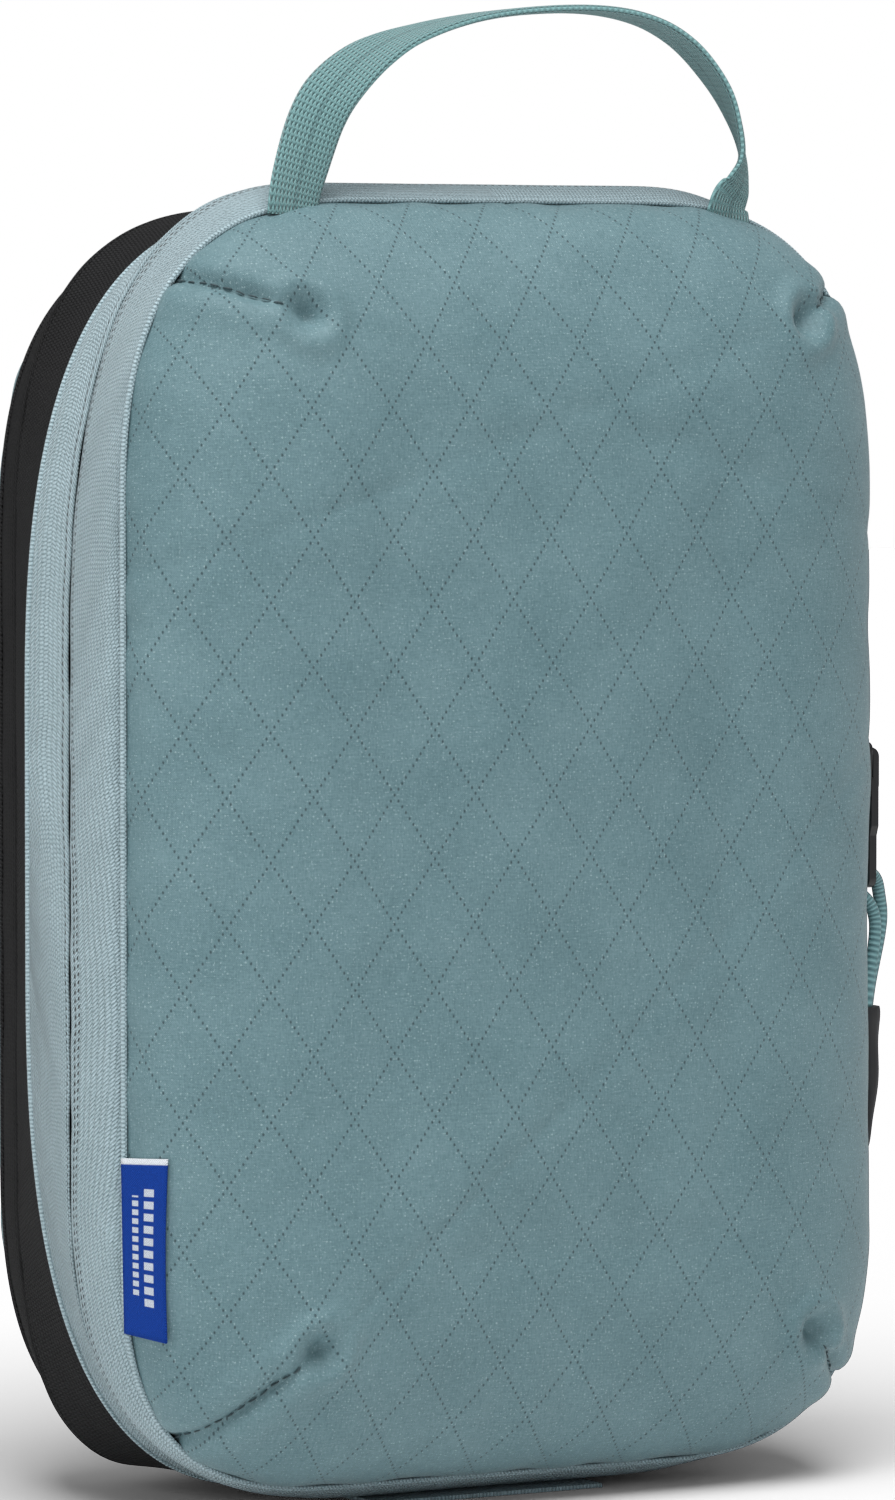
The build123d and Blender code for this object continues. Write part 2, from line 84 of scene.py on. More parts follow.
def ring_outline(ring, inset):
    """One ring's outline as (x, z), once round from the top centre towards +X."""
    half = BODY_WIDTH / 2 - ring[1] - inset
    top = LIFT + BODY_HEIGHT - ring[3] - inset
    base = LIFT + ring[2] + inset
    angle = np.linspace(0, math.pi / 2, 500)
    parts = []
    for corner, end, side in ((ring[4], top, 1), (ring[5], base, -1)):
        run = min(max(corner[0] - inset, 0.3 * half), half)
        climb = max(corner[1] - inset, 0.3 * half)
        x = half - run + run * np.cos(angle) ** (2 / CORNER_POWER)
        z = end - side * climb * (1 - np.sin(angle) ** (2 / CORNER_POWER))
        parts.append(evenly(np.stack([x, z], axis=1), CORNER_STEPS))
    high, low = parts
    top_run = np.linspace((0, top), high[-1], END_STEPS + 1)
    side_run = np.linspace(high[0], low[0], SIDE_STEPS + 1)
    part = np.linspace(1, 0, END_STEPS + 1)
    sag = ring[6] * max(0.0, 1 - inset / 30) * (1 - part**4)
    base_run = np.stack([low[-1][0] * part, low[-1][1] - sag], axis=1)
    right = np.concatenate([top_run[:-1], high[::-1][:-1], side_run[:-1], low[:-1], base_run])
    left = right[::-1][1:-1] * (-1, 1)
    return np.concatenate([right, left])


_rings = {}


def outline(y, inset=0.0):
    """The cube's outline at depth y as (x, y, z) rows."""
    held = min(max(y, RINGS[0][0]), RINGS[-1][0])
    index = next(i for i in range(len(RINGS) - 1) if held <= RINGS[i + 1][0])
    pair = []
    for ring in (index, index + 1):
        key = (ring, round(inset, 4))
        if key not in _rings:
            _rings[key] = ring_outline(RINGS[ring], inset)
        pair.append(_rings[key])
    part = (held - RINGS[index][0]) / (RINGS[index + 1][0] - RINGS[index][0])
    flat = pair[0] + (pair[1] - pair[0]) * part
    return np.stack([flat[:, 0], np.full(len(flat), y), flat[:, 1]], axis=1)


def ripple(points, scale, seed):
    """Smooth noise from -1 to 1 at each point."""
    shift = Vector((seed * 7.3, seed * 3.1, seed * 1.7))
    flat = points.reshape(-1, 3) / scale
    values = [noise.noise(Vector(p) + shift) for p in flat]
    return np.array(values).reshape(points.shape[:-1])


def around(rows):
    """Distance round the loop for each row of points."""
    steps = np.linalg.norm(np.roll(rows, -1, axis=1) - rows, axis=2)
    total = np.cumsum(steps, axis=1)
    return np.concatenate([np.zeros((rows.shape[0], 1)), total[:, :-1]], axis=1), total[:, -1:]


def across(rows):
    steps = np.linalg.norm(np.diff(rows, axis=0), axis=2)
    return np.concatenate([np.zeros((1, rows.shape[1])), np.cumsum(steps, axis=0)], axis=0)


def normals(rows):
    """Unit normals of a closed loop grid, pointing out of the cube."""
    tangent = np.roll(rows, -1, axis=1) - np.roll(rows, 1, axis=1)
    cross = np.gradient(rows, axis=0)
    n = np.cross(cross, tangent)
    n /= np.maximum(np.linalg.norm(n, axis=2, keepdims=True), 1e-9)
    middle = np.array([0, 17.0, 130.0])
    way = np.sign(np.median(np.sum(n * (rows - middle), axis=2)))
    return n * (way if way else 1)


def grid_mesh(name, rows, uv, material):
    """A mesh from a grid of closed loops, with its cloth coordinates in millimetres."""
    count, round_ = rows.shape[:2]
    verts = [tuple(p) for p in (rows.reshape(-1, 3) * MM)]
    faces = []
    corners = []
    for j in range(count - 1):
        for i in range(round_):
            k = (i + 1) % round_
            faces.append((j * round_ + i, j * round_ + k, (j + 1) * round_ + k, (j + 1) * round_ + i))
            last = (j, i + 1) if k == 0 else (j, k)
            corners.append(((j, i), last, (j + 1, last[1]), (j + 1, i)))
    mesh = bpy.data.meshes.new(name)
    mesh.from_pydata(verts, [], faces)
    layer = mesh.uv_layers.new(name="cloth")
    values = np.array([uv[c[0], c[1]] for quad in corners for c in quad], dtype=np.float32)
    layer.data.foreach_set("uv", values.ravel())
    mesh.shade_smooth()
    obj = bpy.data.objects.new(name, mesh)
    bpy.context.collection.objects.link(obj)
    mesh.materials.append(material)
    return obj


def thicken(obj, wall=CLOTH, way=-1):
    """Gives cloth its thickness, on the inner side."""
    modifier = obj.modifiers.new("thickness", "SOLIDIFY")
    modifier.thickness = wall * MM
    modifier.offset = way
    modifier.use_rim = True
    return obj


def weld(obj):
    """Joins the vertices that meet where a panel's rows close in its middle."""
    made = bmesh.new()
    made.from_mesh(obj.data)
    bmesh.ops.remove_doubles(made, verts=made.verts, dist=0.02 * MM)
    made.to_mesh(obj.data)
    made.free()


def outward(obj):
    """Turns a mesh's faces to point away from the cube's middle."""
    mesh = obj.data
    middle = Vector((0, 0.017, 0.13))
    total = sum((p.center - middle).dot(p.normal) * p.area for p in mesh.polygons)
    if total < 0:
        mesh.flip_normals()
    return obj


# ---------------------------------------------------------------- node helpers
class Shade:
    """A short way of writing a material's nodes."""

    def __init__(self, name):
        self.material = bpy.data.materials.new(name)
        self.material.use_nodes = True
        self.tree = self.material.node_tree
        self.shader = self.tree.nodes["Principled BSDF"]

    def node(self, kind, **settings):
        made = self.tree.nodes.new(kind)
        for key, value in settings.items():
            setattr(made, key, value)
        return made

    def link(self, source, target):
        if isinstance(source, (int, float)):
            target.default_value = source
        else:
            self.tree.links.new(source, target)

    def math(self, operation, a, b=0.0, c=0.0):
        made = self.node("ShaderNodeMath", operation=operation)
        for value, socket in zip((a, b, c), made.inputs):
            self.link(value, socket)
        return made.outputs[0]

    def cloth(self):
        """Cloth coordinates in millimetres: along and across."""
        uv = self.node("ShaderNodeUVMap", uv_map="cloth")
        split = self.node("ShaderNodeSeparateXYZ")
        self.tree.links.new(uv.outputs[0], split.inputs[0])
        self.uv = uv.outputs[0]
        return split.outputs[0], split.outputs[1]

    def place(self):
        """Object coordinates in millimetres."""
        coordinate = self.node("ShaderNodeTexCoord")
        scale = self.node("ShaderNodeVectorMath", operation="SCALE")
        self.tree.links.new(coordinate.outputs["Object"], scale.inputs[0])
        scale.inputs["Scale"].default_value = 1000.0
        return scale.outputs[0]

    def noise(self, vector, scale, detail=2.0, rough=0.5):
        made = self.node("ShaderNodeTexNoise")
        made.inputs["Scale"].default_value = scale
        made.inputs["Detail"].default_value = detail
        made.inputs["Roughness"].default_value = rough
        self.tree.links.new(vector, made.inputs["Vector"])
        return made.outputs[0]

    def stretched(self, vector, factors):
        """The vector with each axis multiplied by its factor."""
        made = self.node("ShaderNodeVectorMath", operation="MULTIPLY")
        self.tree.links.new(vector, made.inputs[0])
        made.inputs[1].default_value = factors
        return made.outputs[0]

    def near(self, value, period):
        """Distance to the nearest multiple of period."""
        shifted = self.math("DIVIDE", value, period)
        whole = self.math("ROUND", shifted)
        return self.math("MULTIPLY", self.math("ABSOLUTE", self.math("SUBTRACT", shifted, whole)), period)

    def under(self, value, edge, soft):
        """1 where value is under edge, 0 above, with a soft step."""
        ramp = self.node("ShaderNodeMapRange", interpolation_type="SMOOTHSTEP")
        self.link(value, ramp.inputs["Value"])
        ramp.inputs["From Min"].default_value = edge - soft
        ramp.inputs["From Max"].default_value = edge + soft
        ramp.inputs["To Min"].default_value = 1.0
        ramp.inputs["To Max"].default_value = 0.0
        return ramp.outputs["Result"]

    def mix(self, part, a, b):
        made = self.node("ShaderNodeMix", data_type="RGBA")
        self.link(part, made.inputs[0])
        for value, socket in ((a, made.inputs[6]), (b, made.inputs[7])):
            if isinstance(value, tuple):
                socket.default_value = (*value, 1.0)
            else:
                self.tree.links.new(value, socket)
        return made.outputs[2]

    def bump(self, height, distance, strength=1.0, onto=None):
        made = self.node("ShaderNodeBump")
        made.inputs["Strength"].default_value = strength
        made.inputs["Distance"].default_value = distance * MM
        self.link(height, made.inputs["Height"])
        if onto is not None:
            self.tree.links.new(onto, made.inputs["Normal"])
        return made.outputs[0]

    def finish(self, colour, normal=None, rough=0.7, sheen=0.0, metallic=0.0, specular=0.5):
        if isinstance(colour, tuple):
            self.shader.inputs["Base Color"].default_value = (*colour, 1.0)
        else:
            self.tree.links.new(colour, self.shader.inputs["Base Color"])
        if normal is not None:
            self.tree.links.new(normal, self.shader.inputs["Normal"])
        self.link(rough, self.shader.inputs["Roughness"])
        self.shader.inputs["Sheen Weight"].default_value = sheen
        self.shader.inputs["Sheen Roughness"].default_value = 0.4
        self.shader.inputs["Metallic"].default_value = metallic
        self.shader.inputs["Specular IOR Level"].default_value = specular
        return self.material


# ---------------------------------------------------------------- materials
LATTICE_WIDTH = 17.1        # ripstop diamonds
LATTICE_HEIGHT = 25.0
LATTICE_NODE = (-28.9, 179.7)
DOTS_PER_EDGE = 11
TAPE_RIB = 0.8
TAPE_COLUMN = 1.5
LABEL_WIDTH = 10.9
LABEL_HEIGHT = 34.0
# Two rows of woven blocks: centre across, half width, pitch, lower end and upper end.
LABEL_MARKS = [
    (6.7, 1.25, 2.3, 6.0, 29.0),
    (3.3, 0.75, 1.7, 8.0, 27.0),
]
STRAP_YARN = 0.80
STRAP_STITCH = 1.3
TEAL = (0.078, 0.158, 0.178)
TEAL_LIGHT = (0.162, 0.268, 0.294)
TEAL_DOT = (0.018, 0.042, 0.050)
SKY = (0.160, 0.240, 0.262)
SKY_LIGHT = (0.520, 0.665, 0.720)
BLACK = (0.003, 0.003, 0.003)
BLACK_LIGHT = (0.030, 0.030, 0.031)


def dot_lines(s, x, z):
    """Ripstop's dotted diamond lattice: 1 on a dot."""
    wide = s.math("DIVIDE", s.math("SUBTRACT", x, LATTICE_NODE[0]), LATTICE_WIDTH)
    high = s.math("DIVIDE", s.math("SUBTRACT", z, LATTICE_NODE[1]), LATTICE_HEIGHT)
    u = s.math("ADD", wide, high)
    v = s.math("SUBTRACT", wide, high)
    slope = math.hypot(1 / LATTICE_WIDTH, 1 / LATTICE_HEIGHT)
    edge = math.hypot(LATTICE_WIDTH, LATTICE_HEIGHT) / 2
    masks = []
    for line, along in ((u, v), (v, u)):
        off = s.math("DIVIDE", s.near(line, 1.0), slope)
        step = s.math("MULTIPLY", s.near(along, 1.0 / DOTS_PER_EDGE), edge)
        away = s.math("SQRT", s.math("ADD", s.math("MULTIPLY", off, off), s.math("MULTIPLY", step, step)))
        masks.append(s.under(away, 0.25, 0.12))
    return s.math("MAXIMUM", masks[0], masks[1])


def ripstop():
    s = Shade("ripstop")
    x, z = s.cloth()
    dots = dot_lines(s, x, z)
    warp = s.math("SINE", s.math("MULTIPLY", x, 2 * math.pi / 0.42))
    weft = s.math("SINE", s.math("MULTIPLY", z, 2 * math.pi / 0.42))
    weave = s.math("MULTIPLY", warp, weft)
    fine = s.noise(s.uv, 5.5, 2.0, 0.7)
    broad = s.noise(s.uv, 0.05, 3.0)
    slub_up = s.noise(s.stretched(s.uv, (2.4, 0.35, 1.0)), 1.0, 2.0, 0.7)
    slub_across = s.noise(s.stretched(s.uv, (0.35, 2.4, 1.0)), 1.0, 2.0, 0.7)
    slubs = s.math("MULTIPLY", s.math("ADD", slub_up, slub_across), 0.75)
    grain = s.math("ADD", s.noise(s.uv, 2.0, 3.0, 0.8), slubs)
    tone = s.math("ADD", s.math("MULTIPLY", s.math("SUBTRACT", grain, 1.25), 1.3), 0.5)
    tone = s.math("ADD", tone, s.math("MULTIPLY", s.math("SUBTRACT", broad, 0.5), 0.8))
    tone = s.math("ADD", tone, s.math("MULTIPLY", weave, 0.06))
    colour = s.mix(tone, TEAL, TEAL_LIGHT)
    # Light specks scattered at random over the cloth: painted glints of light on the fibres.
    painted_glint = s.under(s.noise(s.uv, 2.3, 0.0), 0.262, 0.02)
    colour = s.mix(s.math("MULTIPLY", painted_glint, 0.38), colour, (0.50, 0.64, 0.66))
    colour = s.mix(s.math("MULTIPLY", dots, 0.82), colour, TEAL_DOT)
    height = s.math("SUBTRACT", s.math("MULTIPLY", weave, 0.25), s.math("MULTIPLY", dots, 1.2))
    height = s.math("ADD", height, s.math("MULTIPLY", fine, 0.7))
    height = s.math("ADD", height, s.math("MULTIPLY", grain, 1.1))
    rough = s.math("SUBTRACT", 0.60, s.math("MULTIPLY", fine, 0.18))
    return s.finish(colour, s.bump(height, 0.10, 0.8), rough, sheen=0.16, specular=0.4)


def tape(name, dark, light, hole_rows, slant=0.0, sheen=0.22, specular=0.3):
    """Woven tape: short ribs in staggered columns, with rows of needle holes beside the zip."""
    s = Shade(name)
    along, side = s.cloth()
    column = s.math("DIVIDE", side, TAPE_COLUMN)
    stagger = s.math("MULTIPLY", s.math("FLOORED_MODULO", s.math("FLOOR", column), 2.0), TAPE_RIB / 2)
    place = s.math("ADD", s.math("ADD", along, stagger), s.math("MULTIPLY", side, slant))
    rib = s.math("ABSOLUTE", s.math("SINE", s.math("MULTIPLY", place, math.pi / TAPE_RIB)))
    edge = s.math("ABSOLUTE", s.math("SINE", s.math("MULTIPLY", column, math.pi)))
    fine = s.noise(s.uv, 1.7, 3.0, 0.8)
    broad = s.noise(s.uv, 0.08, 2.0)
    # The tone is lighter on the ribs and the middle of each column and darker between them: painted shade
    # in the weave's grooves, laid over the yarn's random tone.
    tone = s.math("ADD", s.math("MULTIPLY", rib, 0.45), s.math("MULTIPLY", edge, 0.25))
    tone = s.math("ADD", tone, s.math("MULTIPLY", fine, 1.7))
    tone = s.math("ADD", s.math("SUBTRACT", tone, 0.86), s.math("MULTIPLY", broad, 0.2))
    colour = s.mix(tone, dark, light)
    height = s.math("ADD", s.math("MULTIPLY", rib, 0.7), s.math("MULTIPLY", edge, 0.4))
    height = s.math("ADD", height, s.math("MULTIPLY", fine, 0.9))
    for row in hole_rows:
        off = s.math("ABSOLUTE", s.math("SUBTRACT", side, row))
        skewed = s.math("ADD", along, s.math("MULTIPLY", side, 0.5))
        step = s.math("MULTIPLY", s.near(skewed, 2 * TAPE_RIB), 0.6)
        away = s.math("SQRT", s.math("ADD", s.math("MULTIPLY", off, off), s.math("MULTIPLY", step, step)))
        hole = s.under(away, 0.22, 0.08)
        # The needle holes are coloured dark: painted shade inside the holes.
        colour = s.mix(hole, colour, tuple(0.18 * c for c in dark))
        height = s.math("SUBTRACT", height, s.math("MULTIPLY", hole, 1.5))
    return s.finish(colour, s.bump(height, 0.42, 1.0), 0.78, sheen=sheen, specular=specular)


def webbing():
    s = Shade("webbing")
    along, side = s.cloth()
    column = s.near(side, STRAP_YARN)
    ribs = s.under(column, 0.27, 0.10)
    skewed = s.math("ADD", along, s.math("MULTIPLY", column, 2.2))
    slant = s.math("SINE", s.math("MULTIPLY", skewed, 2 * math.pi / STRAP_STITCH))
    centre = s.under(s.math("ABSOLUTE", side), 0.30, 0.12)
    fine = s.noise(s.uv, 1.8, 3.0, 0.8)
    # The tone is lighter on the ribs and the slanted stitches' crests and darker between them: painted
    # shade in the grooves, laid over the yarn's random tone.
    tone = s.math("ADD", s.math("MULTIPLY", ribs, 0.5), s.math("MULTIPLY", s.math("ADD", slant, 1.0), 0.26))
    tone = s.math("ADD", s.math("SUBTRACT", tone, 0.08), s.math("MULTIPLY", fine, 0.40))
    colour = s.mix(tone, (0.035, 0.100, 0.106), (0.215, 0.400, 0.405))
    colour = s.mix(s.math("MULTIPLY", centre, 0.35), colour, (0.050, 0.105, 0.115))
    height = s.math("ADD", s.math("MULTIPLY", ribs, 1.0), s.math("MULTIPLY", slant, 0.35))
    return s.finish(colour, s.bump(height, 0.30, 1.0), 0.75, sheen=0.25, specular=0.3)


def plain(name, dark, light, rough, specular=0.5, grain=6.0, bump=0.02, metallic=0.0, sheen=0.0):
    """A moulded or lacquered finish with a fine grain."""
    s = Shade(name)
    place = s.place()
    fine = s.noise(place, grain, 3.0, 0.6)
    broad = s.noise(place, 0.25, 2.0)
    tone = s.math("ADD", s.math("MULTIPLY", fine, 0.5), s.math("MULTIPLY", broad, 0.5))
    gloss = s.math("ADD", rough - 0.08, s.math("MULTIPLY", broad, 0.16))
    return s.finish(s.mix(tone, dark, light), s.bump(fine, bump), gloss, sheen, metallic, specular)


def label_cloth():
    """A blue damask tag with plain woven bars."""
    s = Shade("label")
    along, up = s.cloth()
    weave = s.math("MULTIPLY", s.math("SINE", s.math("MULTIPLY", along, 2 * math.pi / 0.5)),
                   s.math("SINE", s.math("MULTIPLY", up, 2 * math.pi / 0.5)))
    fine = s.noise(s.uv, 3.0, 2.0)
    tone = s.math("ADD", fine, s.math("MULTIPLY", weave, 0.2))
    colour = s.mix(tone, (0.002, 0.026, 0.200), (0.006, 0.060, 0.380))
    marks = 0.0
    for column, half, pitch, low, high in LABEL_MARKS:
        inside = s.under(s.math("ABSOLUTE", s.math("SUBTRACT", along, column)), half, 0.08)
        from_middle = s.math("ABSOLUTE", s.math("SUBTRACT", up, (low + high) / 2))
        middle = s.under(from_middle, (high - low) / 2, 0.1)
        block = s.under(s.near(up, pitch), 0.31 * pitch, 0.08)
        mark = s.math("MULTIPLY", s.math("MULTIPLY", inside, middle), block)
        marks = s.math("MAXIMUM", marks, mark)
    colour = s.mix(s.math("MULTIPLY", marks, 0.85), colour, (0.66, 0.71, 0.76))
    edge = s.under(s.math("SUBTRACT", LABEL_HEIGHT, up), 1.1, 0.15)
    colour = s.mix(edge, colour, (0.70, 0.74, 0.78))
    return s.finish(colour, s.bump(s.math("ADD", weave, marks), 0.08), 0.8, specular=0.15)


def cord_braid():
    """A round braid with ribs across it."""
    s = Shade("cord_braid")
    uv = s.node("ShaderNodeTexCoord")
    split = s.node("ShaderNodeSeparateXYZ")
    s.tree.links.new(uv.outputs["UV"], split.inputs[0])
    ribs = s.math("SINE", s.math("MULTIPLY", split.outputs[0], 2 * math.pi * 62))
    fine = s.noise(s.place(), 5.0, 2.0)
    # The tone follows the ribs, darker between them: painted shade in the braid's grooves, laid over a
    # random tone.
    tone = s.math("ADD", s.math("MULTIPLY", s.math("ADD", ribs, 1.0), 0.38), s.math("MULTIPLY", fine, 0.25))
    colour = s.mix(tone, (0.060, 0.150, 0.165), (0.225, 0.420, 0.440))
    return s.finish(colour, s.bump(ribs, 0.22, 0.8), 0.7, sheen=0.3)


MAT_RIPSTOP = ripstop()
MAT_SKY_FRONT = tape("sky_tape_front", SKY, SKY_LIGHT, (1.5, 2.5))
MAT_SKY_REAR = tape("sky_tape_rear", SKY, SKY_LIGHT, (1.3,), 0.6)
MAT_BLACK_FRONT = tape("black_tape_front", BLACK, BLACK_LIGHT, (1.5,), 0.0, 0.0, 0.10)
MAT_BLACK_REAR = tape("black_tape_rear", BLACK, BLACK_LIGHT, (1.5,), 0.6, 0.0, 0.10)
MAT_SKY_EDGE = tape("sky_edge", SKY, SKY_LIGHT, ())
MAT_WEBBING = webbing()
MAT_LABEL = label_cloth()
MAT_CORD = cord_braid()
MAT_THREAD = plain("thread", (0.020, 0.040, 0.048), (0.045, 0.080, 0.090), 0.6, sheen=0.2)
MAT_COIL = plain("zip_coil", (0.008, 0.010, 0.012), (0.020, 0.024, 0.028), 0.45)
MAT_METAL = plain("black_lacquer", (0.006, 0.006, 0.007), (0.012, 0.012, 0.013), 0.34, bump=0.01)
MAT_GRIP = plain("moulded_rubber", (0.010, 0.010, 0.011), (0.020, 0.020, 0.022), 0.55, bump=0.03)
BINDING = (0.030, 0.055, 0.062)
BINDING_LIGHT = (0.060, 0.095, 0.105)
MAT_BINDING = plain("binding_tape", BINDING, BINDING_LIGHT, 0.85, bump=0.06, sheen=0.2)


# ---------------------------------------------------------------- panels
# A dart's seam end, inner end and the dimple past it, as x and z on the front of the panel.
DARTS = [
    ((-77.8, 243.6), (-57.5, 237.0), (-53.2, 235.4)),
    ((-76.0, 15.2), (-56.0, 32.3), (-52.5, 35.0)),
    ((80.5, 242.0), (64.5, 236.5), (61.0, 234.0)),
    ((79.5, 16.5), (66.0, 28.5), (63.0, 31.5)),
]


def dart_shape(x, z):
    """How far the four darts push the panel in, and how far they lift it beside them."""
    depth = np.zeros_like(x)
    for start, end, dimple in DARTS:
        sx, sz = start
        dx, dz = end[0] - sx, end[1] - sz
        length = math.hypot(dx, dz)
        along = np.clip(((x - sx) * dx + (z - sz) * dz) / length**2, -0.3, 1.15)
        off = np.abs((x - sx) * dz - (z - sz) * dx) / length
        fade = 1 / (1 + np.exp((along - 1.0) * 14))
        depth += 2.0 * fade * np.exp(-((off / 1.3) ** 2))
        depth -= 0.9 * fade * np.exp(-(((off - 4.5) / 3.2) ** 2))
        away = np.hypot(x - dimple[0], z - dimple[1])
        depth += 3.4 * np.exp(-((away / 2.6) ** 2)) - 1.2 * np.exp(-(((away - 6.0) / 2.1) ** 2))
        turn = np.arctan2(z - dimple[1], x - dimple[0])
        depth += 0.12 * np.cos(5 * turn) * np.exp(-(((away - 9.0) / 5.0) ** 2))
    return depth


def panel_cloth(name, node, body, seam_y, crown, way, darts, seed):
    """A swollen ripstop panel: a quarter-ellipse rise from the seam, then a low dome."""
    angles = np.radians(np.linspace(0, 90, 40))
    half = BODY_WIDTH / 2 - (RINGS[0][1] if way < 0 else RINGS[-1][1])
    insets = list(CROWN_REACH * (1 - np.cos(angles)))
    rises = list(crown * np.sin(angles))
    for inset in np.linspace(CROWN_REACH, half - 0.4, 26)[1:]:
        part = (inset - CROWN_REACH) / (half - CROWN_REACH)
        insets.append(inset)
        rises.append(crown + DOME * (1 - (1 - part) ** 2))
    run = np.concatenate([[0], np.cumsum(np.hypot(np.diff(insets), np.diff(rises)))])
    flat_at = run[-1] - run
    rows = np.stack([outline(seam_y + way * rise, inset) for inset, rise in zip(insets, rises)])
    flats = [outline(seam_y, half - 0.4 - left)[:, [0, 2]] for left in flat_at]
    uv = np.stack(flats)
    uv[-1, :, 0] = 0
    rows[-1, :, 0] = 0
    uv = np.concatenate([uv, uv[:, :1]], axis=1)
    x, z = rows[..., 0], rows[..., 2]
    run_grid = run[:, None]
    push = 0.7 * ripple(rows, 38.0, seed) + 0.28 * ripple(rows, 13.0, seed + 3)
    loop, _ = around(rows[:1])
    wave = np.sin(loop / 3.1 + 2 * ripple(rows[:1], 20.0, seed + 5))
    pucker = wave * np.exp(-(((run_grid - 3.0) / 3.5) ** 2))
    push = push * np.minimum(1.0, run_grid / 8.0) + 0.26 * pucker
    creases = np.exp(-(((z - 22) / 20.0) ** 2)) * np.cos(x / 2.4 + 0.06 * z) * np.exp(-((x / 20) ** 2))
    push = push + 0.22 * creases
    if darts:
        push = push - dart_shape(x, z) * np.minimum(1.0, run_grid / 3.0 + 0.35)
    push_out = normals(rows) * push[..., None]
    push_out[-1] = 0
    push_out[-1, :, 1] = way * push[-1]
    rows = rows + push_out
    if way > 0:
        uv = uv + 5.0
    obj = outward(grid_mesh(name, rows, uv, MAT_RIPSTOP))
    weld(obj)
    thicken(obj)
    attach(obj, body)
    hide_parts(node)
    return rows


# ---------------------------------------------------------------- tapes
def band_cloth(name, nodes, body, profile, material, bulge, seed, zip_last, steps=3):
    """A band of tape: profile is (y, height above the skin) pairs from front to back."""
    ys = []
    heights = []
    for (y0, h0), (y1, h1) in zip(profile, profile[1:]):
        for part in np.linspace(0, 1, steps, endpoint=False):
            ys.append(y0 + (y1 - y0) * part)
            heights.append(h0 + (h1 - h0) * part)
    ys.append(profile[-1][0])
    heights.append(profile[-1][1])
    rows = np.stack([outline(y) for y in ys])
    flat = across(rows)
    if zip_last:
        flat = flat[-1] - flat
    loop, total = around(rows)
    share = (np.array(ys) - ys[0]) / (ys[-1] - ys[0])
    belly = bulge * np.sin(np.pi * share)[:, None]
    soft = 0.26 * ripple(rows, 30.0, seed) + 0.10 * ripple(rows, 9.0, seed + 2)
    lift = np.array(heights)[:, None] + belly + soft * np.sin(np.pi * np.clip(share, 0.02, 0.98))[:, None]
    rows = rows + normals(rows) * lift[..., None]
    sway = 0.14 * np.sin(loop[:1] / 5.2) + 0.10 * np.sin(loop[:1] / 2.3 + 1.0)
    rows[..., 1] += sway
    uv = np.stack([loop, flat], axis=2)
    closing = np.stack([total, flat[:, :1]], axis=2)
    uv = np.concatenate([uv, closing], axis=1)
    obj = outward(grid_mesh(name, rows, uv, material))
    thicken(obj, 0.5)
    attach(obj, body)
    if nodes:
        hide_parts(*nodes)
    return obj


def braid(name, body, y, height, width, material):
    """A raised woven edge sewn round the cube at depth y."""
    base = outline(y)[None]
    rim = np.concatenate([outline(y - 0.5)[None], base, outline(y + 0.5)[None]])
    normal = normals(rim)[1]
    loop, total = around(base)
    loop = loop[0]
    rows = []
    for step in range(8):
        angle = 2 * math.pi * step / 8
        side = width / 2 * math.cos(angle)
        rise = height * (0.45 + 0.55 * math.sin(angle))
        ring = base[0] + normal * rise
        ring[:, 1] += side
        rows.append(ring)
    rows.append(rows[0])
    rows = np.stack(rows)
    along = np.repeat(loop[None], 9, axis=0)
    side_uv = np.repeat(np.arange(9)[:, None] * 0.4, len(loop), axis=1)
    uv = np.stack([along, side_uv], axis=2)
    uv = np.concatenate([uv, uv[:, :1] + (float(total[0, 0]), 0)], axis=1)
    obj = outward(grid_mesh(name, rows, uv, material))
    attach(obj, body)
    return obj


# Along a stitch from its middle, as a share of its length: its thickness and its rise.
STITCH_SECTIONS = [
    (-0.5, 0.45, -0.3),
    (-0.25, 1.0, 0.35),
    (0.25, 1.0, 0.35),
    (0.5, 0.45, -0.3),
]


def on_line(line, reach, at):
    """The point at a distance along a line."""
    return np.array([np.interp(at, reach, line[:, axis]) for axis in range(3)])


def stitches(name, body, lines, pitch, length, thick):
    """Short raised stitches along closed or open lines of (points, normals)."""
    verts = []
    faces = []
    for points, normal, closed in lines:
        loop = np.concatenate([points, points[:1]]) if closed else points
        out = np.concatenate([normal, normal[:1]]) if closed else normal
        reach = np.concatenate([[0], np.cumsum(np.linalg.norm(np.diff(loop, axis=0), axis=1))])
        count = max(1, int(reach[-1] / pitch))
        for index in range(count):
            centre = (index + 0.5) * reach[-1] / count
            ends = [on_line(loop, reach, centre + side * length / 2) for side in (-1, 1)]
            up = on_line(out, reach, centre)
            along = (ends[1] - ends[0]) / max(np.linalg.norm(ends[1] - ends[0]), 1e-6)
            side = np.cross(up, along)
            first = len(verts)
            for part, size, rise in STITCH_SECTIONS:
                middle = (ends[0] + ends[1]) / 2 + along * length * part + up * thick * rise
                for turn in range(6):
                    angle = math.pi * turn / 3
                    offset = side * math.cos(angle) + up * math.sin(angle)
                    verts.append(tuple((middle + offset * thick / 2 * size) * MM))
            for ring in range(3):
                for turn in range(6):
                    a = first + ring * 6 + turn
                    b = first + ring * 6 + (turn + 1) % 6
                    faces.append((a, b, b + 6, a + 6))
            faces.append(tuple(first + turn for turn in range(5, -1, -1)))
            faces.append(tuple(first + 18 + turn for turn in range(6)))
    mesh = bpy.data.meshes.new(name)
    mesh.from_pydata(verts, [], faces)
    mesh.shade_smooth()
    mesh.materials.append(MAT_THREAD)
    obj = bpy.data.objects.new(name, mesh)
    bpy.context.collection.objects.link(obj)
    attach(obj, body)
    return obj


